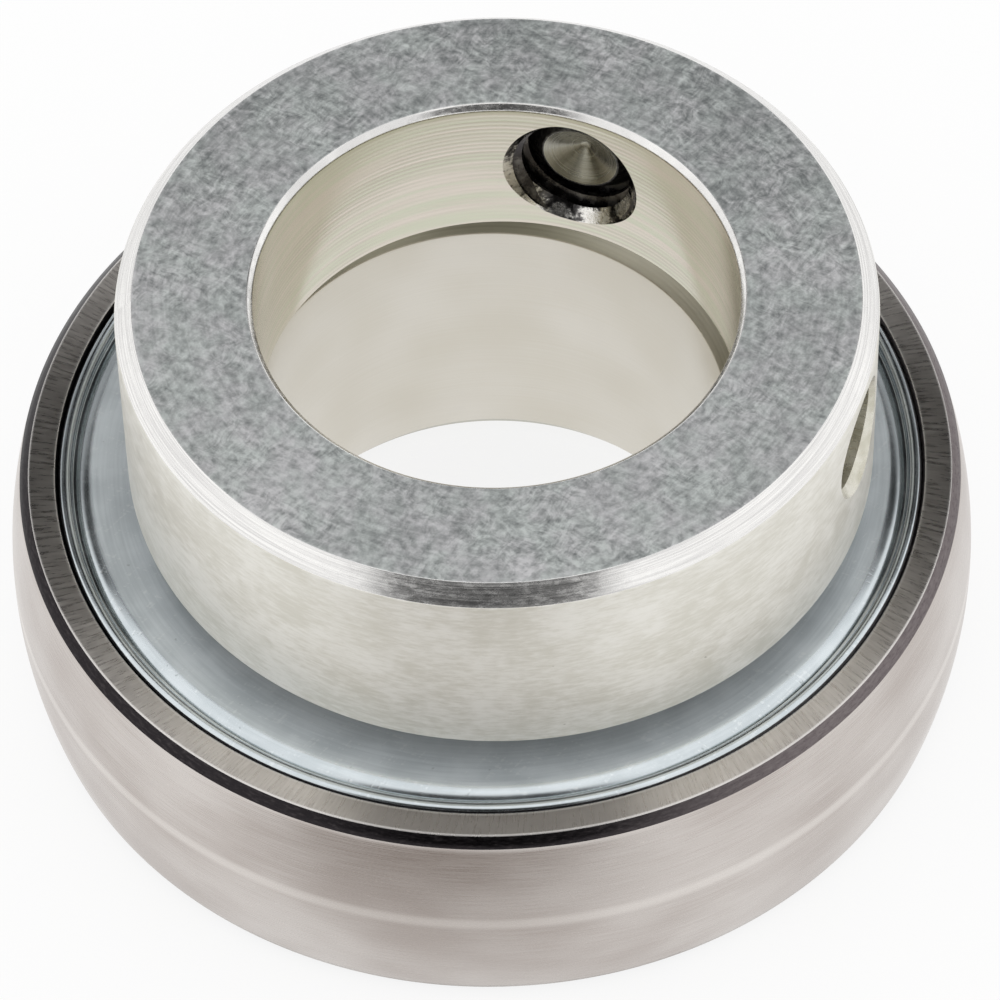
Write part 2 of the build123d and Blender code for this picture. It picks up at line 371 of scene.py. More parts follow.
def furnace_scale():
    f = Finish("furnace_scale", (0.06, 0.052, 0.054), 0.34)
    spot = f.spot()
    u, z, _ = f.polar(spot, sphere_r)
    specks = f.noise(f.flat(u, z), (1.3, 7.0, 1.0), 3.0, 0.7)
    black = f.mix(f.step(specks, 0.45, 0.75), (0.026, 0.023, 0.025), (0.06, 0.053, 0.055))
    brown = f.mix(f.step(specks, 0.3, 0.75), (0.135, 0.115, 0.118), (0.21, 0.185, 0.185))
    side, _, _ = f.axes(spot)
    f.set(f.shader, {
        "Base Color": f.mix(f.step(side, 4.0, 26.0), black, brown),
        "Roughness": f.step(specks, 0.3, 0.8, 0.26, 0.4),
    })
    f.relief(specks, 0.004)
    return f.material


def raceway():
    f = Finish("raceway", (0.6, 0.6, 0.6), 0.12)
    lines = f.noise(f.spot(), (0.2, 0.2, 20.0), 2.0)
    f.set(f.shader, {
        "Base Color": f.mix(lines, (0.56, 0.56, 0.56), (0.66, 0.66, 0.65)),
        "Roughness": f.step(lines, 0.3, 0.7, 0.08, 0.16),
    })
    f.relief(lines, 0.0006)
    return f.material


SPHERE, FACE, SCALE, RACE = range(4)
ring_finishes = [ground_sphere(), ground_face(), furnace_scale(), raceway()]
print("outer ring finishes", [m.name for m in ring_finishes])

# %% [markdown]
# The inner ring's bore is ground smooth and has a warm tone, because it mirrors itself over and over.
# Its end and chamfer, which show as a narrow step inside the collar, are duller and slightly olive,
# with a painted reflection that makes them lighter on one side.

# %% Finishes of the inner ring
def smooth_bore():
    f = Finish("smooth_bore", (0.72, 0.69, 0.62), 0.3)
    spot = f.spot()
    lines = f.noise(spot, (0.1, 0.1, 9.0), 2.0)
    clouds = f.noise(spot, (0.12, 0.12, 0.12), 1.0)
    tone = f.total((lines, 0.3), (clouds, 0.7))
    f.set(f.shader, {
        "Base Color": f.mix(f.step(tone, 0.3, 0.7), (0.7, 0.665, 0.585), (0.765, 0.735, 0.67)),
        "Roughness": f.step(lines, 0.3, 0.7, 0.28, 0.34),
    })
    f.relief(lines, 0.0008)
    f.grain(0.4)
    return f.material


def olive_end():
    f = Finish("olive_end", (0.34, 0.33, 0.26), 0.38)
    spot = f.spot()
    _, z, away = f.polar(spot, bore_r)
    rings = f.noise(f.flat(z, away), (6.0, 6.0, 1.0), 3.0)
    # Painted reflection: a patch on one side of the end is lighter in its colour.
    x, y, _ = f.axes(spot)
    wear_and_painted_sheen = f.math("MULTIPLY", f.step(x, 4, 13), f.step(y, 1, 8))
    steel = f.mix(f.step(rings, 0.3, 0.7), (0.42, 0.405, 0.33), (0.56, 0.545, 0.465))
    f.set(f.shader, {
        "Base Color": f.mix(f.math("MULTIPLY", wear_and_painted_sheen, 0.7), steel, (0.86, 0.84, 0.77)),
        "Roughness": f.step(rings, 0.3, 0.7, 0.32, 0.45),
    })
    f.relief(rings, 0.003)
    return f.material


BORE, END, LAND_RACE, LAND = range(4)
inner_finishes = [smooth_bore(), olive_end(), ring_finishes[RACE], ring_finishes[SPHERE]]
print("inner ring finishes", [m.name for m in inner_finishes])

# %% [markdown]
# The collar is turned from bar and zinc plated, which makes it paler than bare steel. Its top was
# tumbled against other collars, so short scratches run every way over a cloudy grey. The bore shows
# the feed of the boring tool as fine rings, with a breath of green and rose where the plating is
# thin. The scratches could be drawn one by one, but noise drawn out in a few directions looks the
# same from a step away: the brightest layer at each spot gives pale strokes, the darkest dark ones.
# The holes have finishes of their own: a thread whose dark colour is partly painted shade of the deep
# hole, plated cones, and a torn edge in the bore with painted glints and painted dark reflections.

# %% Finishes of the collar
boring_feed = 0.42  # the boring tool moves this far in a turn


def tumbled_top():
    f = Finish("tumbled_top", (0.46, 0.47, 0.46), 0.4, 0.5)
    spot = f.spot(collar_axis)
    _, _, away = f.polar(spot, bore_r)
    drift = f.add("TexNoise", {"Vector": spot, "Scale": 0.45, "Detail": 1.0}).outputs["Color"]
    bent = f.vector("ADD", spot, f.vector("MULTIPLY", drift, (1.6, 1.6, 0.0)))
    zones = f.step(f.noise(spot, (0.16, 0.16, 0.16), 2.0), 0.38, 0.62, 0.45, 1.0)
    fine = f.math("MULTIPLY", f.strokes(bent, 1.0, 4.0), zones)
    long = f.math("MULTIPLY", f.strokes(bent, 0.35, 3.0, (35, 128)), zones)
    dents = f.noise(spot, (1.5, 1.5, 1.5), 3.0, 0.62)
    clouds = f.noise(spot, (0.09, 0.09, 0.09), 3.0, 0.5)
    feed = f.noise(f.flat(away, 0.0), (2.2, 1.0, 1.0), 2.0)
    hue = f.noise(f.vector("ADD", spot, (41.0, 0.0, 0.0)), (0.3, 0.3, 0.3), 3.0, 0.6)
    grey = f.mix(f.step(hue, 0.35, 0.65), (0.71, 0.75, 0.73), (0.745, 0.74, 0.75))
    wear_and_painted_sheen = f.measure("DOT_PRODUCT", spot, (-0.5 / collar_r, -0.87 / collar_r, 0.0))
    marks = f.math("ADD", fine, long)
    shade = f.total((marks, 0.42), (dents, 0.5), (clouds, 0.25), (feed, 0.25), (wear_and_painted_sheen, 0.06))
    f.set(f.shader, {
        "Base Color": f.mix(f.step(shade, 0.2, 0.8), (0.22, 0.235, 0.235), grey),
        "Roughness": f.step(dents, 0.3, 0.7, 0.36, 0.48),
    })
    f.relief(f.math("ADD", marks, dents), 0.006)
    return f.material


def turned_edge():
    f = Finish("turned_edge", (0.8, 0.79, 0.77), 0.2)
    spot = f.spot(collar_axis)
    u, z, away = f.polar(spot, bore_r)
    slope = f.math("SUBTRACT", away, z)
    rings = f.noise(f.flat(f.math("MULTIPLY", u, 0.12), slope), (1.0, 5.0, 1.0), 3.0, 0.65)
    nicks = f.noise(f.flat(u, z), (1.6, 3.5, 1.0), 3.0, 0.7)
    high = f.step(z, collar_top - 0.35, collar_top - 0.05)
    knocks = f.math("MULTIPLY", high, f.step(nicks, 0.57, 0.64))
    low = f.step(f.math("ABSOLUTE", f.math("SUBTRACT", z, collar_top - top_chamfer)), 0.03, 0.11, 1.0, 0.0)
    plate = f.mix(f.step(rings, 0.35, 0.65), (0.68, 0.67, 0.66), (0.9, 0.89, 0.87))
    worn = f.mix(f.math("MULTIPLY", low, 0.75), plate, (0.3, 0.27, 0.24))
    f.set(f.shader, {
        "Base Color": f.mix(knocks, worn, (0.93, 0.92, 0.9)),
        "Roughness": f.step(nicks, 0.3, 0.75, 0.14, 0.34),
        "Metallic": f.math("SUBTRACT", f.step(rings, 0.3, 0.7, 0.96, 0.8), f.math("MULTIPLY", knocks, 0.7)),
    })
    f.relief(f.total((rings, 1.0), (nicks, 0.5)), 0.006)
    f.grain(0.4, collar_axis)
    return f.material


def plated_wall():
    f = Finish("plated_wall", (0.7, 0.68, 0.62), 0.38, 0.5)
    spot = f.spot(collar_axis)
    dashes = f.noise(spot, (0.8, 0.8, 3.2), 4.0, 0.65)
    patches = f.noise(spot, (0.2, 0.2, 0.25), 3.0)
    dents = f.noise(spot, (1.3, 1.3, 2.0), 2.0)
    tone = f.total((dashes, 0.55), (patches, 0.45))
    pale = f.mix(f.step(tone, 0.36, 0.64), (0.68, 0.66, 0.585), (0.84, 0.825, 0.77))
    f.set(f.shader, {
        "Base Color": f.mix(f.step(dents, 0.76, 0.8, 0.0, 0.6), pale, (0.36, 0.34, 0.28)),
        "Roughness": f.step(dashes, 0.3, 0.7, 0.3, 0.44),
    })
    f.relief(dashes, 0.003)
    return f.material


def bored_wall():
    f = Finish("bored_wall", (0.7, 0.68, 0.58), 0.2)
    spot = f.spot(collar_axis)
    u, z, _ = f.polar(spot, bore_r)
    feed = f.math("SINE", f.math("MULTIPLY", z, tau / boring_feed))
    drift = f.noise(spot, (0.1, 0.1, 3.0), 2.0)
    worn = f.step(f.noise(spot, (0.07, 0.07, 0.2), 1.0), 0.4, 0.62, 0.15, 1.0)
    rings = f.math("MULTIPLY", f.total((feed, 0.6), (drift, 1.0)), worn)
    tint = f.noise(f.flat(f.math("MULTIPLY", u, 0.04), z), (1.0, 1.2, 1.0), 1.0)
    plate = f.mix(f.step(tint, 0.35, 0.65), (0.69, 0.71, 0.57), (0.79, 0.72, 0.65))
    f.set(f.shader, {
        "Base Color": f.mix(f.step(rings, -0.5, 1.1), plate, (0.65, 0.62, 0.53)),
        "Roughness": f.step(drift, 0.3, 0.7, 0.16, 0.22),
    })
    f.relief(rings, 0.003)
    f.grain(0.6, collar_axis)
    return f.material


def cut_thread():
    f = Finish("cut_thread", (0.1, 0.095, 0.09), 0.3)
    # The thread's dark colour is partly painted shade of the deep hole and of the dark screw in it.
    chatter = f.noise(f.spot(collar_axis), (0.9, 0.9, 0.9), 3.0, 0.6)
    f.set(f.shader, {
        "Base Color": f.mix(f.step(chatter, 0.4, 0.75), (0.06, 0.055, 0.055), (0.24, 0.23, 0.22)),
        "Roughness": f.step(chatter, 0.3, 0.7, 0.2, 0.34),
    })
    f.relief(chatter, 0.012)
    return f.material


def plated_cut():
    f = Finish("plated_cut", (0.64, 0.62, 0.54), 0.3, 0.8)
    spot = f.spot(collar_axis)
    thick = f.noise(spot, (0.5, 0.5, 0.5), 2.0)
    lines = f.noise(spot, (1.0, 1.0, 5.0), 2.0, 0.6)
    f.set(f.shader, {
        "Base Color": f.mix(f.step(thick, 0.35, 0.65), (0.54, 0.52, 0.43), (0.72, 0.7, 0.62)),
        "Roughness": f.step(lines, 0.3, 0.7, 0.24, 0.36),
    })
    f.relief(lines, 0.006)
    return f.material


def torn_mouth():
    f = Finish("torn_mouth", (0.4, 0.39, 0.36), 0.22)
    spot = f.spot(collar_axis)
    tears = f.noise(spot, (0.9, 0.9, 1.4), 4.0, 0.7)
    beads = f.noise(f.vector("ADD", spot, (7.0, 0.0, 0.0)), (0.45, 0.45, 0.45), 1.0)
    # Painted glints and painted dark reflections: the mask sets near-white and near-black patches over the torn
    # relief.
    mask = f.total((tears, 0.6), (beads, 0.4))
    f.set(f.shader, {
        "Base Color": f.mix(f.step(mask, 0.46, 0.55), (0.08, 0.076, 0.075), (0.82, 0.8, 0.76)),
        "Roughness": f.step(tears, 0.3, 0.7, 0.14, 0.3),
    })
    f.relief(tears, 0.05)
    return f.material


TOP, EDGE, WALL, BORED, THREAD, CUT, MOUTH = range(7)
collar_finishes = [
    tumbled_top(), turned_edge(), plated_wall(), bored_wall(), cut_thread(), plated_cut(), torn_mouth(),
]
print("collar finishes", [m.name for m in collar_finishes])

# %% [markdown]
# The seals' outer washers are pressed from zinc-plated sheet, cool and bluish beside the collar, with
# faint smears and a few scratches. The set screw is blackened, and only the turned cup of its point is
# bright. The pieces inside, which show only if the bearing is opened, get finishes too: polished
# balls, glass-filled nylon with short fibres, and matt rubber.

# %% Finishes of the seals, the screw and the pieces inside
drawn_from = 29.4  # the washer's sheet is drawn and polished by the press from this radius outwards
screw_middle = Vector((collar_axis.x, collar_axis.y, hole_z))
screw_turn = screw_way.to_track_quat("Z", "Y").to_euler()


def pressed_zinc():
    f = Finish("pressed_zinc", (0.62, 0.68, 0.71), 0.42)
    spot = f.spot()
    u, z, away = f.polar(spot, sphere_r)
    drawn = f.step(away, drawn_from, drawn_from + 0.5)
    smears = f.noise(spot, (0.25, 0.25, 0.25), 3.0)
    rolled = f.noise(f.flat(f.math("MULTIPLY", u, 0.1), f.math("ADD", away, z)), (1.0, 4.0, 1.0), 2.0)
    marks = f.step(f.strokes(spot, 0.3, 4.0, (24, 131)), 0.12, 0.3)
    specks = f.step(f.noise(spot, (1.4, 1.4, 1.4), 2.0, 0.7), 0.7, 0.76)
    tone = f.total((smears, 0.6), (rolled, 0.4))
    zinc = f.mix(f.step(tone, 0.35, 0.65), (0.56, 0.61, 0.635), (0.68, 0.73, 0.755))
    used = f.mix(f.math("MULTIPLY", marks, 0.3), zinc, (0.85, 0.88, 0.88))
    f.set(f.shader, {
        "Base Color": f.mix(f.math("MULTIPLY", specks, 0.35), used, (0.25, 0.28, 0.28)),
        "Roughness": f.math("SUBTRACT", f.step(tone, 0.3, 0.7, 0.38, 0.46), f.math("MULTIPLY", drawn, 0.22)),
        "Metallic": f.step(drawn, 0.0, 1.0, 0.5, 1.0),
    })
    f.relief(f.math("SUBTRACT", rolled, marks), 0.0015)
    return f.material


def blackened_screw():
    f = Finish("blackened_screw", (0.06, 0.058, 0.055), 0.34, 0.8)
    spot = f.spot(screw_middle, screw_turn)
    grit = f.noise(spot, (1.8, 1.8, 1.8), 3.0, 0.65)
    f.set(f.shader, {
        "Base Color": f.mix(f.step(grit, 0.4, 0.75), (0.035, 0.033, 0.031), (0.15, 0.145, 0.13)),
        "Roughness": f.step(grit, 0.3, 0.7, 0.26, 0.42),
    })
    f.relief(grit, 0.01)
    return f.material


def turned_cup():
    f = Finish("turned_cup", (0.42, 0.41, 0.35), 0.26)
    _, along, away = f.polar(f.spot(screw_middle, screw_turn), 1.0)
    rings = f.noise(f.flat(away, along), (6.0, 2.0, 1.0), 2.0)
    f.set(f.shader, {
        "Base Color": f.mix(f.step(rings, 0.3, 0.7), (0.34, 0.33, 0.275), (0.42, 0.41, 0.355)),
        "Roughness": f.step(rings, 0.3, 0.7, 0.22, 0.28),
    })
    f.relief(rings, 0.0015)
    f.grain(0.8, screw_middle, screw_way)
    return f.material


def polished_ball():
    f = Finish("polished_ball", (0.74, 0.74, 0.74), 0.06)
    haze = f.noise(f.spot(), (0.6, 0.6, 0.6), 2.0)
    f.set(f.shader, {
        "Base Color": f.mix(haze, (0.7, 0.7, 0.7), (0.78, 0.78, 0.77)),
        "Roughness": f.step(haze, 0.3, 0.7, 0.04, 0.09),
    })
    f.relief(haze, 0.0004)
    return f.material


def fibre_nylon():
    f = Finish("fibre_nylon", (0.72, 0.64, 0.46), 0.5, 0.0)
    spot = f.spot()
    flow = f.noise(spot, (0.25, 0.25, 0.6), 2.0)
    fibres = f.step(f.strokes(spot, 1.5, 14.0), 0.16, 0.34)
    nylon = f.mix(flow, (0.66, 0.57, 0.4), (0.76, 0.68, 0.5))
    f.set(f.shader, {
        "Base Color": f.mix(f.math("MULTIPLY", fibres, 0.5), nylon, (0.86, 0.8, 0.66)),
        "Roughness": f.step(flow, 0.3, 0.7, 0.42, 0.56),
    })
    f.relief(f.math("ADD", flow, fibres), 0.004)
    return f.material


def seal_rubber():
    f = Finish("seal_rubber", (0.025, 0.025, 0.026), 0.62, 0.0)
    spot = f.spot()
    _, z, away = f.polar(spot, 1.0)
    bloom = f.noise(spot, (0.5, 0.5, 0.5), 3.0)
    moulded = f.noise(f.flat(away, z), (8.0, 8.0, 1.0), 2.0)
    f.set(f.shader, {
        "Base Color": f.mix(f.step(bloom, 0.4, 0.75), (0.018, 0.018, 0.019), (0.05, 0.05, 0.051)),
        "Roughness": f.step(bloom, 0.3, 0.7, 0.52, 0.72),
    })
    f.relief(moulded, 0.004)
    return f.material


sheet_finish = pressed_zinc()
BLACK, CUP = 0, 1
screw_finishes = [blackened_screw(), turned_cup()]
print("sheet and screw finishes", sheet_finish.name, [m.name for m in screw_finishes])

# %% [markdown]
# A finished piece needs the same closing steps each time: give every face its finish, scale from
# millimetres to metres, shade it smooth with true corners, and hand it to the frame. Weighted normals
# make the small roundings take the bend of the light, so that the flats beside them stay flat.

# %% Close a piece and hand it over
SHARP = radians(35)


def finished(bm, name, finishes, zone, body, node):
    """Make an object of a mesh in millimetres and put it in the place of a solid."""
    for face in bm.faces:
        face.material_index = zone(face)
        face.smooth = True
    bmesh.ops.scale(bm, vec=(MM, MM, MM), verts=bm.verts)
    mesh = bpy.data.meshes.new(name)
    bm.to_mesh(mesh)
    loose = sum(not edge.is_manifold for edge in bm.edges)
    bm.free()
    for finish in finishes:
        mesh.materials.append(finish)
    mesh.set_sharp_from_angle(angle=SHARP)
    piece = bpy.data.objects.new(name, mesh)
    bpy.context.scene.collection.objects.link(piece)
    normals = piece.modifiers.new("weighted_normals", "WEIGHTED_NORMAL")
    normals.keep_sharp = True
    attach(piece, body)
    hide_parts(node)
    triangles = sum(len(p.vertices) - 2 for p in mesh.polygons)
    print(name, "triangles", triangles, "open edges", loose)
    return piece


# %% [markdown]
# The outer ring: a sphere outside, a ball groove inside and a stepped seat for each seal. The section
# is drawn for the upper half, then repeated upside down for the lower half. The sphere and the groove
# are arcs, and the corners between ground and unground faces get only the small rounding that
# grinding leaves, since that thin bright line is what makes the dark bevel look crisp.

# %% Outer ring
ball_r = 11.112 / 2
groove_r = 0.52 * 2 * ball_r
seat_z = face_z - 2.2
ground_corner, race_corner, seat_corner = 0.1, 0.12, 0.1


def outer_ring():
    groove_centre = outer_race_r - groove_r
    lean = degrees(asin(sqrt(groove_r ** 2 - (land_r - groove_centre) ** 2) / groove_r))
    top = degrees(asin(bevel_z / sphere_r))
    half = [
        (land_r, seat_z, race_corner), (seat_r, seat_z, 0),
        (seat_r, face_z - flare_depth, seat_corner),
        (flare_r, face_z, ground_corner), (face_r, face_z, ground_corner),
    ]
    groove = arc((groove_centre, 0), groove_r, -lean, lean, steps=24)
    outside = arc((0, 0), sphere_r, top, -top, steps=32)
    other = [(r, -z, rounding) for r, z, rounding in reversed(half)]
    return turned(groove + half + outside + other)


def outer_zone(face):
    """Finish of a face of the outer ring, from where it lies."""
    r, z = ring_radius(face), abs(face.calc_center_median().z)
    if r < land_r + MERGE:
        return RACE
    if r < flare_r - 0.5 * ground_corner:
        return SCALE
    if z > face_z - 0.6 * ground_corner and r < face_r + 0.7 * ground_corner:
        return FACE
    return SCALE if z > bevel_z - 0.01 else SPHERE


finished(outer_ring(), "outer_ring_body", ring_finishes, outer_zone, "outer", "outer_ring")

# %% [markdown]
# The inner ring is turned in one piece, and its end is turned again off centre to make the eccentric
# nose. The same trick works here: the section is spun about the bore, then only the outside of the
# nose is slid sideways. Its end and its shoulder are flat, so they stay flat, and no cut is needed.

# %% Inner ring
inner_race_r = bore_r + 3.624
inner_land_r = inner_race_r + 2.326
land_top = face_z + 1.4
nose_r = bore_r + 4.5
nose_chamfer, end_chamfer = 0.5, 0.8
bore_chamfer_length, bore_chamfer_depth = 1.5, 1.0
soft_corner = 0.1


def inner_ring():
    groove_centre = inner_race_r + groove_r
    lean = degrees(asin(sqrt(groove_r ** 2 - (groove_centre - inner_land_r) ** 2) / groove_r))
    groove = arc((groove_centre, 0), groove_r, 180 + lean, 180 - lean, steps=24)
    chamfer_r = bore_r + bore_chamfer_depth
    outline = groove + [
        (inner_land_r, land_top, soft_corner), (nose_r, land_top, 0),
        (nose_r, ring_top - nose_chamfer, soft_corner), (nose_r - nose_chamfer, ring_top, soft_corner),
        (chamfer_r, ring_top, soft_corner), (bore_r, ring_top - bore_chamfer_length, soft_corner),
        (bore_r, bore_chamfer_length - face_z, soft_corner), (chamfer_r, -face_z, soft_corner),
        (inner_land_r - end_chamfer, -face_z, soft_corner),
        (inner_land_r, end_chamfer - face_z, soft_corner),
    ]
    bm = turned(outline)
    nose = [
        v for v in bm.verts
        if v.co.z > land_top - MERGE and nose_r - nose_chamfer - soft_corner < v.co.xy.length < nose_r + MERGE
    ]
    bmesh.ops.translate(bm, vec=(nose_axis.x, nose_axis.y, 0), verts=nose)
    return bm


def inner_zone(face):
    """Finish of a face of the inner ring, from where it lies."""
    middle, r = face.calc_center_median(), ring_radius(face)
    if r < bore_r + 0.5 * soft_corner:
        return BORE
    if r > inner_land_r - 0.02 and middle.z < land_top - soft_corner:
        return LAND
    return LAND_RACE if abs(middle.z) < ball_r and r > inner_race_r - 0.1 else END


finished(inner_ring(), "inner_ring_body", inner_finishes, inner_zone, "inner", "inner_ring")

# %% [markdown]
# The seals: each outer washer is pressed with a bent shoulder, a narrow groove and a rim folded back on
# itself, all of one sheet. The fold is a little fuller than two sheets. The upper and lower washers are
# mirror images, so one section makes both, and the mirrored mesh has its normals turned out again.

# %% Seal washers
sheet = 0.45
rubber_top = seat_z + sheet + 0.5
groove_z = rubber_top + sheet
washer_top, rim_top = face_z - 0.25, face_z - 0.05
washer_bore = inner_land_r + 0.75
washer_r = seat_r - 0.02
rim_r = washer_r - 2 * sheet
fold_r = sheet + 0.06
groove_in = rim_r - 0.3
shoulder_bend = 45
shoulder_r = (washer_top - groove_z) / (1 - cos(radians(shoulder_bend)))
shoulder_in = groove_in - shoulder_r * sin(radians(shoulder_bend))
underside_in, underside_out = groove_in - 1.1, groove_in - 0.3
pressed_bend, cut_edge, rim_edge = 0.12, 0.08, 0.05


def seal_washer():
    fold = arc((rim_r + fold_r, rim_top - fold_r), fold_r, 0, 180)
    slope = arc((shoulder_in, washer_top - shoulder_r), shoulder_r, 90 - shoulder_bend, 90)
    return turned(fold + [(rim_r, groove_z, pressed_bend)] + slope + [
        (washer_bore, washer_top, pressed_bend), (washer_bore, washer_top - sheet, cut_edge),
        (underside_in, washer_top - sheet, 0.1), (underside_out, rubber_top, 0),
        (washer_r - sheet, rubber_top, 0), (washer_r - sheet, seat_z + sheet, rim_edge),
        (washer_r, seat_z + sheet, rim_edge), (washer_r, rim_top - fold_r - 0.2, rim_edge),
    ], longest=0.4)


def mirrored(bm):
    """Turn a mesh upside down about the bearing's middle plane."""
    bmesh.ops.scale(bm, vec=(1, 1, -1), verts=bm.verts)
    bmesh.ops.recalc_face_normals(bm, faces=bm.faces)
    return bm


for side, washer in (("upper", seal_washer()), ("lower", mirrored(seal_washer()))):
    finished(washer, side + "_washer", [sheet_finish], lambda face: 0, "outer", side + "_seal_shield")

# %% [markdown]
# A screw thread is a section that climbs as it turns. One axial line with a tooth for each turn is
# spun once while it rises by one pitch, and the end of each tooth then meets the start of the next.
# Two planes trim the rod and are capped, which leaves a closed solid that can cut or be cut.

# %% Threaded rod
PITCH = 1.5
THREAD_STEPS = 72
FLANK_ANGLE = radians(30)


def threaded_rod(crest_r, root_r, low, high):
    """Closed rod with a metric thread, along Z."""
    crest = PITCH / 16
    flank = crest + (crest_r - root_r) * tan(FLANK_ANGLE)
    tooth = ((root_r, -flank), (crest_r, -crest), (crest_r, crest), (root_r, flank))
    first, last = int(low / PITCH) - 2, int(high / PITCH) + 2
    bm = bmesh.new()
    line = [bm.verts.new((r, 0, n * PITCH + z)) for n in range(first, last) for r, z in tooth]
    for a, b in zip(line, line[1:]):
        bm.edges.new((a, b))
    bmesh.ops.spin(
        bm, geom=bm.verts[:] + bm.edges[:], cent=(0, 0, 0), axis=(0, 0, 1),
        dvec=(0, 0, PITCH / THREAD_STEPS), angle=tau, steps=THREAD_STEPS, use_merge=False,
    )
    bmesh.ops.remove_doubles(bm, verts=bm.verts, dist=MERGE)
    for level, way in ((low, -1), (high, 1)):
        cut = bmesh.ops.bisect_plane(
            bm, geom=bm.verts[:] + bm.edges[:] + bm.faces[:], plane_co=(0, 0, level),
            plane_no=(0, 0, way), clear_outer=True,
        )
        rim = [e for e in cut["geom_cut"] if isinstance(e, bmesh.types.BMEdge)]
        bmesh.ops.contextual_create(bm, geom=rim)
    bmesh.ops.recalc_face_normals(bm, faces=bm.faces)
    return bm


print("thread pitch", PITCH, "steps in a turn", THREAD_STEPS)

# %% [markdown]
# The screw and the tools for the holes are made along Z, then turned to point out from the collar's
# axis. A cut could stay a live modifier, but a mesh that is cut at once can be checked, and each face
# keeps the finish of the tool that cut it.

# %% Place a piece along a hole, and cut
def towards(bm, way, distance):
    """Turn a piece from Z to a radial direction of the collar, starting at a distance from its axis."""
    turn = way.to_track_quat("Z", "Y").to_matrix().to_4x4()
    foot = screw_middle + way * distance
    bmesh.ops.transform(bm, matrix=Matrix.Translation(foot) @ turn, verts=bm.verts)
    return bm


def carved(bm, tool, operation, finishes):
    """Cut one closed mesh with another, or keep what both share. Both are used up."""
    objects = []
    for part in (bm, tool):
        mesh = bpy.data.meshes.new("carving")
        part.to_mesh(mesh)
        part.free()
        for finish in finishes:
            mesh.materials.append(finish)
        objects.append(bpy.data.objects.new("carving", mesh))
        bpy.context.scene.collection.objects.link(objects[-1])
    cut = objects[0].modifiers.new("carve", "BOOLEAN")
    cut.object, cut.operation, cut.solver = objects[1], operation, "EXACT"
    cut.material_mode = "INDEX"
    made = bpy.data.meshes.new_from_object(objects[0].evaluated_get(bpy.context.evaluated_depsgraph_get()))
    result = bmesh.new()
    result.from_mesh(made)
    for item in objects:
        mesh = item.data
        bpy.data.objects.remove(item)
        bpy.data.meshes.remove(mesh)
    bpy.data.meshes.remove(made)
    return result


# %% [markdown]
# The set screw: a blank with a cup point and a chamfered end is laid over a threaded rod, and only
# what both share is kept, so the thread runs out at both ends as a rolled thread does. The hexagon
# socket is cut last.

# %% Set screw
TOOL_STEPS = 96
screw_r, screw_root_r = 4.95, 4.15
screw_length = 8.0
screw_start = bore_r + 1.73  # the point stands this far from the collar's axis
point_r, cup_r = 3.0, 2.85
point_edge = 0.05
cup_depth = cup_r / tan(radians(60))
back_chamfer = 1.0
socket_flats, socket_depth = 5.0, 4.0


def set_screw():
    blank_r = screw_r + 0.05
    blank = turned([
        (0, cup_depth, 0), (cup_r, 0, point_edge), (point_r, 0, point_edge),
        (blank_r, screw_r - point_r, 0), (blank_r, screw_length - back_chamfer, 0),
        (screw_r - back_chamfer, screw_length, 0.1), (0, screw_length, 0),
    ], steps=TOOL_STEPS)
    for face in blank.faces:
        in_cup = ring_radius(face) < cup_r and face.calc_center_median().z < screw_length / 2
        face.material_index = CUP if in_cup else BLACK
    rod = threaded_rod(screw_r, screw_root_r, -1, screw_length + 1)
    threaded = carved(blank, rod, "INTERSECT", screw_finishes)
    key = bmesh.new()
    socket_r = socket_flats / sqrt(3)
    bmesh.ops.create_cone(key, cap_ends=True, segments=6, radius1=socket_r, radius2=socket_r,
                          depth=2 * socket_depth)
    bmesh.ops.translate(key, vec=(0, 0, screw_length), verts=key.verts)
    return towards(carved(threaded, key, "DIFFERENCE", screw_finishes), screw_way, screw_start)


finished(set_screw(), "set_screw_body", screw_finishes, lambda face: face.material_index, "screw",
         "set_screw")

# %% [markdown]
# The collar is turned on its own axis, and its eccentric recess is made by sliding the recess's wall
# sideways, as on the nose. The walls have short edges all over, so that the faces beside a hole stay
# small and the light on them stays clean.

# %% Collar without its holes
web_bottom = ring_top + 0.1
recess_r = nose_r + 0.08
bore_top_chamfer, bore_bottom_chamfer, recess_chamfer = 0.45, 0.4, 0.4
rim_corner, foot_corner, wall_corner, bore_corner = 0.05, 0.06, 0.08, 0.15


def collar_blank():
    bm = turned([
        (recess_r + recess_chamfer, collar_bottom, rim_corner),
        (collar_r - bottom_chamfer, collar_bottom, foot_corner),
        (collar_r, collar_bottom + bottom_chamfer, foot_corner),
        (collar_r, collar_top - top_chamfer, wall_corner),
        (collar_r - top_chamfer, collar_top, rim_corner),
        (bore_r + bore_top_chamfer, collar_top, bore_corner),
        (bore_r, collar_top - bore_top_chamfer, bore_corner),
        (bore_r, web_bottom + bore_bottom_chamfer, foot_corner),
        (bore_r + bore_bottom_chamfer, web_bottom, foot_corner),
        (recess_r, web_bottom, 0), (recess_r, collar_bottom + recess_chamfer, rim_corner),
    ], longest=0.42)
    recess = [
        v for v in bm.verts
        if recess_r - MERGE < v.co.xy.length < recess_r + recess_chamfer + 2 * rim_corner
        and v.co.z < web_bottom + MERGE
    ]
    shift = nose_axis - collar_axis
    bmesh.ops.translate(bm, vec=(shift.x, shift.y, 0), verts=recess)
    bmesh.ops.translate(bm, vec=(collar_axis.x, collar_axis.y, 0), verts=bm.verts)
    return bm


print("collar blank", "radii", bore_r, recess_r, collar_r, "web from", web_bottom)

# %% [markdown]
# The holes are cut by closed tools. A drill with its point sinks the blind spanner hole. The screw
# hole is tapped with a threaded rod in step with the screw's thread. Cones open both holes outside,
# and a last one, bent to the curved wall, opens the screw hole in the bore. The cones start a little
# inside the thread's root, so that no two cuts share a face. The pinholes that so many cuts can leave
# where thread and mouth meet are filled.

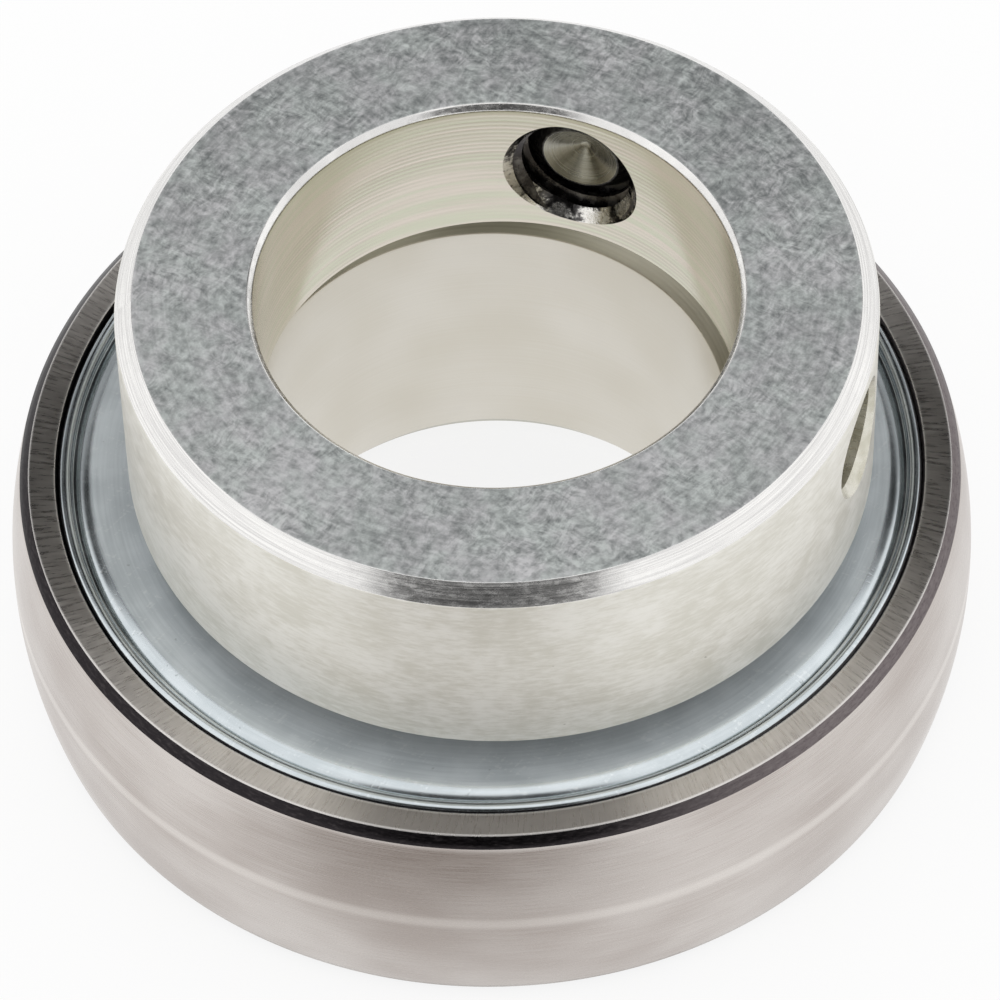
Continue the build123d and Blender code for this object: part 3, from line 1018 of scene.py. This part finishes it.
# %% Holes of the locking collar
hole_crest_r, hole_root_r, hole_mouth_r = 5.05, 4.25, 5.2
cone_start = 0.08
spanner = mounts["spanner_hole"]
spanner_way = Vector(spanner["axis"])
spanner_r = spanner["dims"]["r_mm"]
spanner_floor = collar_r - 5.5
spanner_sink = 0.75
drill_angle = radians(59)  # half the angle of the drill's point
near_wall = 0.03


def spanner_drill():
    """Drill with its point, along Z from the collar's axis."""
    tip, past = spanner_r / tan(drill_angle), collar_r + 4
    return turned([
        (0, spanner_floor - tip, 0), (spanner_r, spanner_floor, 0), (spanner_r, past, 0), (0, past, 0),
    ], longest=1.0, steps=TOOL_STEPS)


def sink(hole_r, mouth_r):
    """Cone that opens a radial hole at the collar's outside, along Z from the collar's axis."""
    start, past = collar_r - (mouth_r - hole_r), 1.0
    return turned([
        (0, start, 0), (hole_r, start, 0), (mouth_r + past, collar_r + past, 0), (0, collar_r + past, 0),
    ], longest=0.5, steps=TOOL_STEPS)


def bore_mouth(hole_r, mouth_r):
    """Cone that opens the screw hole in the bore, along Z as above, bent to follow the curved wall."""
    past = 0.3
    bm = turned([
        (0, bore_r / 2, 0), (mouth_r + past, bore_r / 2, 0), (mouth_r + past, bore_r - past, 0),
        (hole_r, bore_r + mouth_r - hole_r, 0), (0, bore_r + mouth_r - hole_r, 0),
    ], longest=0.5, steps=TOOL_STEPS)
    for vert in bm.verts:
        vert.co.z -= bore_r - sqrt(bore_r ** 2 - vert.co.x ** 2)
    return bm


def collar_zone(face):
    """Finish of a face of the collar: the one of the tool that cut it, or else from where it lies."""
    middle, r = face.calc_center_median(), ring_radius(face, collar_axis)
    if face.material_index in (THREAD, CUT, MOUTH):
        return face.material_index
    if r < bore_r + near_wall:
        return BORED
    if middle.z > collar_top - near_wall and bore_r + bore_top_chamfer < r < collar_r - top_chamfer:
        return TOP
    return WALL if r > collar_r - near_wall else EDGE


def locking_collar():
    bm = collar_blank()
    tap = threaded_rod(hole_crest_r, hole_root_r, -bore_r / 2, collar_wall)
    inside_r = hole_root_r - cone_start
    tools = [
        (towards(spanner_drill(), spanner_way, 0), CUT),
        (towards(sink(spanner_r, spanner_r + spanner_sink), spanner_way, 0), CUT),
        (towards(sink(inside_r, hole_mouth_r), screw_way, 0), CUT),
        (towards(tap, screw_way, screw_start), THREAD),
        (towards(bore_mouth(inside_r, hole_mouth_r), screw_way, 0), MOUTH),
    ]
    for tool, finish in tools:
        for face in tool.faces:
            face.material_index = finish
        bm = carved(bm, tool, "DIFFERENCE", collar_finishes)
    pinholes = [edge for edge in bm.edges if edge.is_boundary]
    for face in bmesh.ops.holes_fill(bm, edges=pinholes, sides=0)["faces"]:
        face.material_index = MOUTH
    return bm


finished(locking_collar(), "collar_body", collar_finishes, collar_zone, "collar", "locking_collar")

# %% [markdown]
# The balls, the cage, the rubber lips and the inner washers have their true shape in the solids, so
# they stay as they are and only get their finishes.

# %% Dress the solids that stay
ball_finish, nylon_finish, rubber_finish = polished_ball(), fibre_nylon(), seal_rubber()
kept = {"ball_cage": nylon_finish}
for side in ("upper", "lower"):
    kept[side + "_seal_lip"] = rubber_finish
    kept[side + "_seal_backing"] = sheet_finish
for name in frame["nodes"]:
    if name.startswith("ball_") and name != "ball_cage":
        kept[name] = ball_finish
for name, finish in kept.items():
    mesh = frame["nodes"][name].data
    mesh.materials.clear()
    mesh.materials.append(finish)
print("solids dressed", len(kept))

# %% [markdown]
# The stage is a plain white floor at the bearing's lower face. It takes the bearing's soft shadow, but
# also glows by itself, so that it stays white. A brown card lies on it in front of the bearing, as in
# many studios. Only the metal shows that card: to the camera the floor is white there too.

# %% Floor
floor_r, floor_gap = 1.5, 0.00002  # metres
own_glow = 0.85
card_middle = Vector((-14.0, -93.0, 0.0))
card_inner, card_outer = 24.0, 66.0  # the card is full within the first radius and gone at the second


def white_floor():
    bm = bmesh.new()
    bmesh.ops.create_circle(bm, cap_ends=True, segments=64, radius=floor_r)
    bmesh.ops.translate(bm, vec=(0, 0, -face_z * MM - floor_gap), verts=bm.verts)
    mesh = bpy.data.meshes.new("floor")
    bm.to_mesh(mesh)
    bm.free()
    floor = bpy.data.objects.new("floor", mesh)
    bpy.context.scene.collection.objects.link(floor)
    f = Finish("white_floor", (1.0, 1.0, 1.0), 0.9, 0.0)
    path = f.add("LightPath", {}).outputs
    matt = f.add("BsdfDiffuse", {"Color": (0.96, 0.96, 0.96, 1)}).outputs[0]
    away = f.measure("LENGTH", f.vector("SUBTRACT", f.spot(), card_middle))
    card = f.mix(f.step(away, card_inner, card_outer), (0.2, 0.155, 0.13), (1.0, 1.0, 1.0))
    shown = f.mix(path["Is Camera Ray"], card, (1.0, 1.0, 1.0))
    glow = f.add("Emission", {"Color": shown, "Strength": 1.0}).outputs[0]
    seen = f.most(path["Is Camera Ray"], path["Is Glossy Ray"], path["Is Transmission Ray"])
    share = f.math("MULTIPLY", seen, own_glow)
    both = f.add("MixShader", {0: share, 1: matt, 2: glow}).outputs[0]
    f.tree.links.new(both, f.tree.nodes["Material Output"].inputs["Surface"])
    mesh.materials.append(f.material)
    return floor


print("floor at", round(white_floor().data.vertices[0].co.z / MM, 2))

# %% [markdown]
# Soft white light comes from all round. Polished metal shows only what it mirrors, so the mirrored
# room matters more than any lamp. Matt things get even light at full strength. Mirrored things see
# the same white with the dark parts of a real studio: a dark patch behind the camera, grey patches
# opposite it and to its far sides, and two dark strips that cross overhead.

# %% Light of the room
ROOM_LIGHT = 1.1


def aimed(azimuth, elevation):
    """Direction to a point of the room: azimuth 0 is the camera's side, elevation above the floor."""
    a, e = radians(azimuth), radians(elevation)
    return Vector((sin(a) * cos(e), -cos(a) * cos(e), sin(e)))


# Each patch: azimuth and elevation, the angles from there where it is full and gone, and its level.
patches = (
    (-4, 38, 21, 29, 0.03), (180, 52, 5, 14, 0.3), (141, 30, 12, 22, 0.35), (219, 30, 12, 22, 0.35),
)
# Each strip lies along a plane. Given are the way across that plane, the middle of the strip, and the
# angles from there where it begins to fade and ends.
strips = ((aimed(90, 0), aimed(180, 45), 27, 37), (aimed(0, 38), aimed(180, 52), 38, 50))
strip_inner, strip_outer, strip_level = 6, 12, 0.04


def studio():
    world = bpy.data.worlds.new("studio")
    world.use_nodes = True
    bpy.context.scene.world = world
    n = Nodes(world.node_tree)
    n.tree.nodes.clear()
    way = n.add("TexCoord", {}).outputs["Generated"]
    light = ROOM_LIGHT
    for azimuth, elevation, inner, outer, level in patches:
        near = n.measure("DOT_PRODUCT", way, aimed(azimuth, elevation))
        left = n.step(near, cos(radians(outer)), cos(radians(inner)), 1.0, level)
        light = n.math("MULTIPLY", light, left)
    for across, middle, inner, outer in strips:
        off = n.math("ABSOLUTE", n.measure("DOT_PRODUCT", way, across))
        inside = n.step(off, sin(radians(strip_inner)), sin(radians(strip_outer)), 1.0, 0.0)
        near = n.measure("DOT_PRODUCT", way, middle)
        reach = n.step(near, cos(radians(outer)), cos(radians(inner)), 0.0, 1.0 - strip_level)
        left = n.math("SUBTRACT", 1.0, n.math("MULTIPLY", inside, reach))
        light = n.math("MULTIPLY", light, left)
    path = n.add("LightPath", {}).outputs
    mirrored_room = n.most(path["Is Glossy Ray"], path["Is Transmission Ray"])
    strength = n.add("Mix", {0: mirrored_room, 2: 1.0, 3: light}, data_type="FLOAT").outputs[0]
    sky = n.add("Background", {"Color": (1, 1, 1, 1), "Strength": strength}).outputs[0]
    n.add("OutputWorld", {"Surface": sky})
    return world


print("room nodes", len(studio().node_tree.nodes))

# %% [markdown]
# The camera stands about half a metre off and looks down at 52 degrees through a long lens, turned by
# a degree and a half. These values put the rims of the rings on the same ellipses as in the picture.

# %% Camera
camera_elevation, camera_roll = radians(52.206), radians(-1.481)
camera_lens, sensor_width = 232.875, 36.0
camera_shift = Vector((-0.6186, 2.6012, 487.166))  # from camera to bearing: right, down, ahead, in mm


def camera():
    e, roll = camera_elevation, camera_roll
    level, rise = Vector((1, 0, 0)), Vector((0, sin(e), cos(e)))
    right = cos(roll) * level + sin(roll) * rise
    up = cos(roll) * rise - sin(roll) * level
    forward = Vector((0, cos(e), -sin(e)))
    data = bpy.data.cameras.new("camera")
    data.sensor_width, data.lens = sensor_width, camera_lens
    data.clip_start, data.clip_end = 0.05, 20.0
    item = bpy.data.objects.new("camera", data)
    bpy.context.scene.collection.objects.link(item)
    turn = Matrix((right, up, -forward)).transposed().to_4x4()
    foot = -(camera_shift.x * right - camera_shift.y * up + camera_shift.z * forward) * MM
    item.matrix_world = Matrix.Translation(foot) @ turn
    bpy.context.scene.camera = item
    return item


print("camera at", [round(c, 4) for c in camera().location])
bpy.context.scene.view_settings.view_transform = "Standard"
